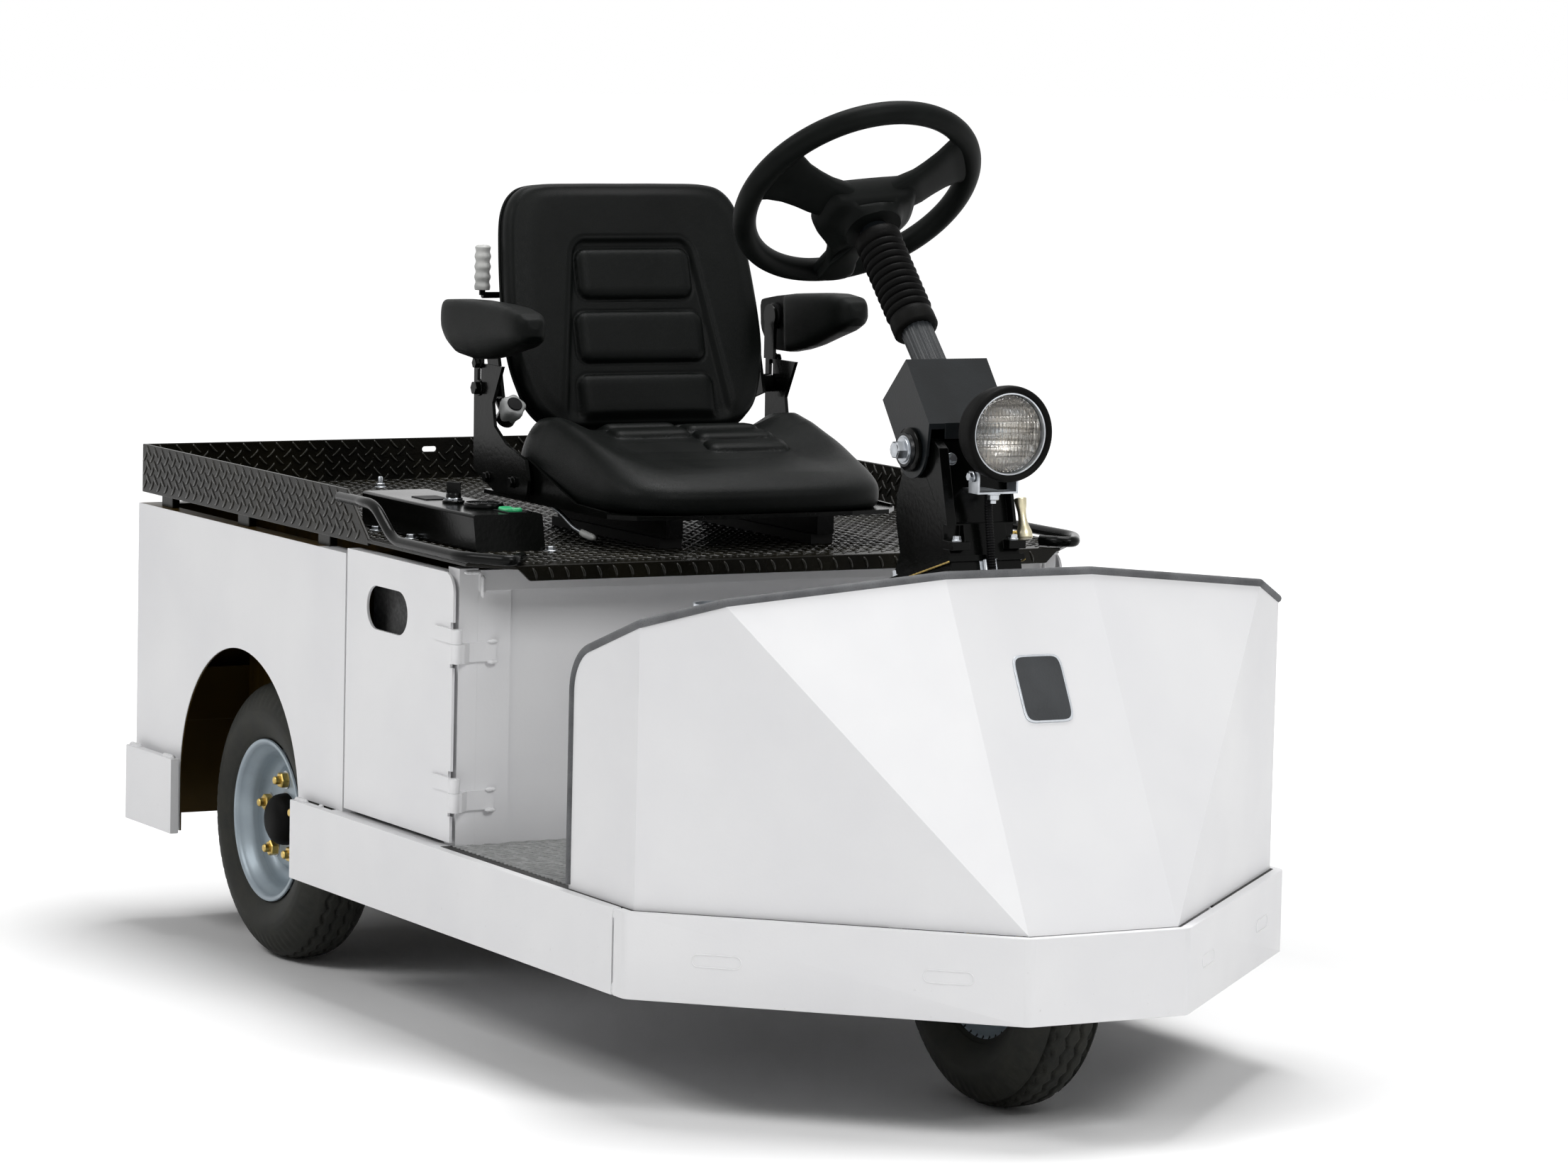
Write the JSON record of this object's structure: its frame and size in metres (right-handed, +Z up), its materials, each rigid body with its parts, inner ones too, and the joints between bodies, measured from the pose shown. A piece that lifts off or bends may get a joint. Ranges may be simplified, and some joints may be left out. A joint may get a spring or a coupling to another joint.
{
  "type": "three-wheel electric tow tractor",
  "caption": "Electric baggage tug with a single steered front wheel, folded sheet nose, tread plate deck, driver's seat with armrests, tilting steering column and side battery doors.",
  "frame": {"origin": "on the floor under the middle of the vehicle's overall length and width", "axes": "+X forward, +Y to the driver's left, +Z up"},
  "size_m": [2.08, 0.988, 1.2741],
  "materials": {
    "body_white": "gloss white paint",
    "frame_black": "satin black paint",
    "black_paint": "gloss black paint",
    "deck_black": "black painted tread plate",
    "floor_grey": "grey expanded metal",
    "trim_rubber": "grey rubber edge trim",
    "boot_rubber": "black rubber",
    "lamp_rubber": "black rubber",
    "pedal_rubber": "ribbed rubber pad",
    "wheel_plastic": "black grained moulding",
    "black_plastic": "black plastic",
    "vinyl": "black vinyl",
    "zinc": "zinc plated",
    "reflector": "mirror",
    "lens_glass": "fluted clear glass",
    "cast_brass": "cast metal",
    "cast_grey": "cast iron",
    "motor_black": "black paint",
    "battery_case": "battery case",
    "red_lens": "red lens",
    "tyre": "black rubber",
    "rim_paint": "silver grey paint"
  },
  "bodies": {
    "chassis": {"frame_rails": "frame_black", "floor_plate": "floor_grey", "side_plates": "body_white", "nose_plate": "body_white", "cowl": "body_white", "cowl_trim": "trim_rubber", "wheel_well": "body_white", "steering_head": "black_paint", "rear_axle": "cast_grey", "drive_motor": "motor_black", "leaf_springs": "frame_black", "side_panels": "body_white", "rear_panel": "body_white", "wheel_wells": "frame_black", "bulkhead": "body_white", "door_posts": "body_white", "deck": "deck_black", "guard_tubes": "black_paint", "console": "black_paint", "console_controls": "black_plastic", "tower": "black_paint", "lamp_housing": "lamp_rubber", "lamp_reflector": "reflector", "lamp_lens": "lens_glass", "lamp_bracket": "zinc", "lamp_conduit": "black_plastic", "tilt_handle": "cast_brass", "pedals": "pedal_rubber", "cup_ring": "zinc", "battery_pack": "battery_case", "hitch": "frame_black", "tail_lamps": "red_lens", "seat_rails": "black_paint"},
    "fork": {"fork": "frame_black"},
    "front_wheel": {"front_tyre": "tyre", "front_rim": "rim_paint"},
    "rear_wheel_right": {"rear_tyre_right": "tyre", "rear_rim_right": "rim_paint"},
    "rear_wheel_left": {"rear_tyre_left": "tyre", "rear_rim_left": "rim_paint"},
    "column": {"column_head": "black_paint", "column_boot": "boot_rubber"},
    "steering_wheel": {"steering_wheel": "wheel_plastic"},
    "seat": {"seat_pan": "black_paint", "seat_cushion": "vinyl"},
    "backrest": {"back_cushion": "vinyl", "back_frame": "black_paint"},
    "armrest_right": {"armrest_right": "vinyl"},
    "armrest_left": {"armrest_left": "vinyl"},
    "door_right": {"door_right": "body_white"},
    "door_left": {"door_left": "body_white"}
  },
  "joints": [
    {"name": "rear_wheel_right_roll", "type": "hinge", "parent": "chassis", "child": "rear_wheel_right", "pos_m": [-0.562, -0.3885, 0.201], "axis": [0, 1, 0], "continuous": true},
    {"name": "rear_wheel_left_roll", "type": "hinge", "parent": "chassis", "child": "rear_wheel_left", "pos_m": [-0.562, 0.3885, 0.201], "axis": [0, 1, 0], "continuous": true},
    {"name": "steer", "type": "hinge", "parent": "chassis", "child": "fork", "pos_m": [0.778, 0, 0.201], "axis": [-0.2823, 0, 0.9593], "range_deg": [-60, 60]},
    {"name": "front_wheel_roll", "type": "hinge", "parent": "fork", "child": "front_wheel", "pos_m": [0.778, 0, 0.201], "axis": [0, 1, 0], "continuous": true},
    {"name": "column_tilt", "type": "hinge", "parent": "chassis", "child": "column", "pos_m": [0.618, 0, 0.83201], "axis": [0, 1, 0], "range_deg": [-12, 16]},
    {"name": "steering_wheel_turn", "type": "hinge", "parent": "column", "child": "steering_wheel", "pos_m": [0.353, 0, 1.15001], "axis": [-0.6947, 0, 0.7193], "range_deg": [-300, 300]},
    {"name": "seat_slide", "type": "slide", "parent": "chassis", "child": "seat", "axis": [1, 0, 0], "range_m": [-0.08, 0.08]},
    {"name": "backrest_recline", "type": "hinge", "parent": "seat", "child": "backrest", "pos_m": [-0.296, 0, 0.843], "axis": [0, 1, 0], "range_deg": [-15, 10]},
    {"name": "armrest_right_flip", "type": "hinge", "parent": "seat", "child": "armrest_right", "pos_m": [-0.305, -0.255, 0.939], "axis": [0, -1, 0], "range_deg": [0, 85]},
    {"name": "armrest_left_flip", "type": "hinge", "parent": "seat", "child": "armrest_left", "pos_m": [-0.305, 0.255, 0.939], "axis": [0, -1, 0], "range_deg": [0, 85]},
    {"name": "door_right_swing", "type": "hinge", "parent": "chassis", "child": "door_right", "pos_m": [0.14, -0.475, 0.27], "axis": [0, 0, 1], "range_deg": [0, 100]},
    {"name": "door_left_swing", "type": "hinge", "parent": "chassis", "child": "door_left", "pos_m": [0.14, 0.475, 0.27], "axis": [0, 0, -1], "range_deg": [0, 100]}
  ],
  "couplings": [
    {"joint": "steering_wheel_turn", "follows": "steer", "ratio": 5}
  ]
}
